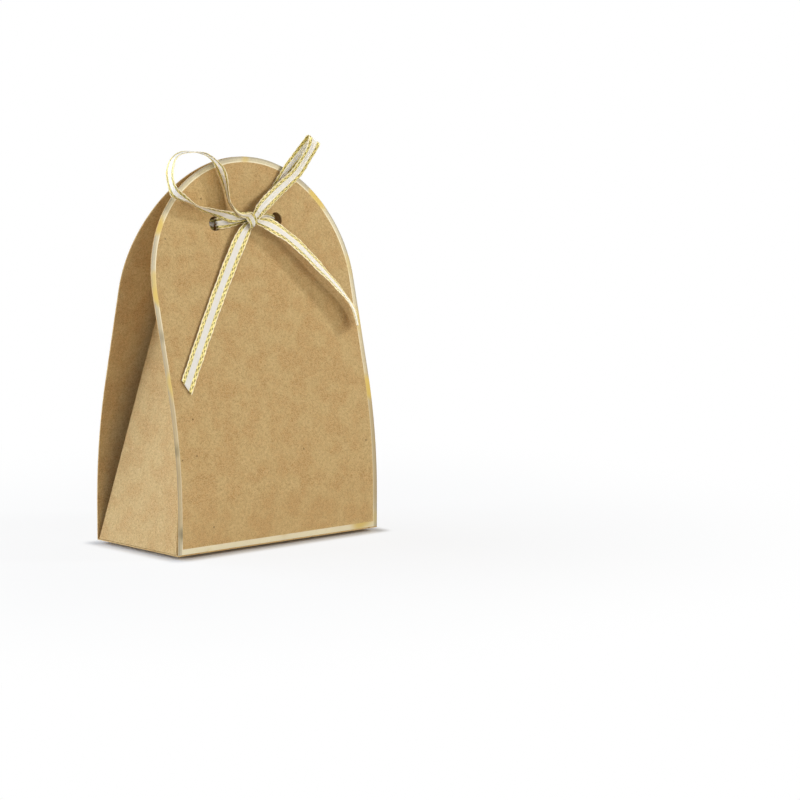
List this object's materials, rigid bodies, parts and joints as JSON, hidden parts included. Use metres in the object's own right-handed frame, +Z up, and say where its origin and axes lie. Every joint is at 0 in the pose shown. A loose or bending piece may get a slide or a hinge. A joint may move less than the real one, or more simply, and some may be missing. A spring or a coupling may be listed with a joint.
{
  "type": "favor box",
  "caption": "Upright kraft card favor box with arched panels drawn together at the top by a ribbon bow, folding gusset sides and a foil-edged outline.",
  "frame": {"origin": "middle of the base's underside", "axes": "+X to the right along the front panel, +Y from the front panel to the back panel, +Z up"},
  "size_m": [0.09, 0.045, 0.1389],
  "materials": {
    "kraft_card": "matt brown kraft with fine fibres",
    "gold_foil": "pale gold mirror foil, hot stamped",
    "satin_ribbon": "cream satin with woven metallic gold edges"
  },
  "bodies": {
    "base": {"base_panel": "kraft_card"},
    "front_panel": {"front_panel": "kraft_card", "front_foil_border": "gold_foil", "ribbon_knot": "satin_ribbon", "ribbon_left_lead": "satin_ribbon", "ribbon_right_lead": "satin_ribbon", "ribbon_left_loop": "satin_ribbon", "ribbon_right_loop": "satin_ribbon", "ribbon_left_tail": "satin_ribbon", "ribbon_right_tail": "satin_ribbon"},
    "back_panel": {"back_panel": "kraft_card", "back_foil_border": "gold_foil", "ribbon_back_strand": "satin_ribbon"},
    "left_gusset": {"left_gusset": "kraft_card"},
    "right_gusset": {"right_gusset": "kraft_card"}
  },
  "joints": [
    {"name": "front_panel_fold", "type": "hinge", "parent": "base", "child": "front_panel", "pos_m": [0, -0.0225, 0.0004], "axis": [1, 0, 0], "range_deg": [0, 90]},
    {"name": "back_panel_fold", "type": "hinge", "parent": "base", "child": "back_panel", "pos_m": [0, 0.0225, 0.0004], "axis": [-1, 0, 0], "range_deg": [0, 90]},
    {"name": "left_gusset_fold", "type": "hinge", "parent": "base", "child": "left_gusset", "pos_m": [-0.045, 0, 0.0004], "axis": [0, -1, 0], "range_deg": [0, 100.5]},
    {"name": "right_gusset_fold", "type": "hinge", "parent": "base", "child": "right_gusset", "pos_m": [0.045, 0, 0.0004], "axis": [0, 1, 0], "range_deg": [0, 100.5]}
  ]
}
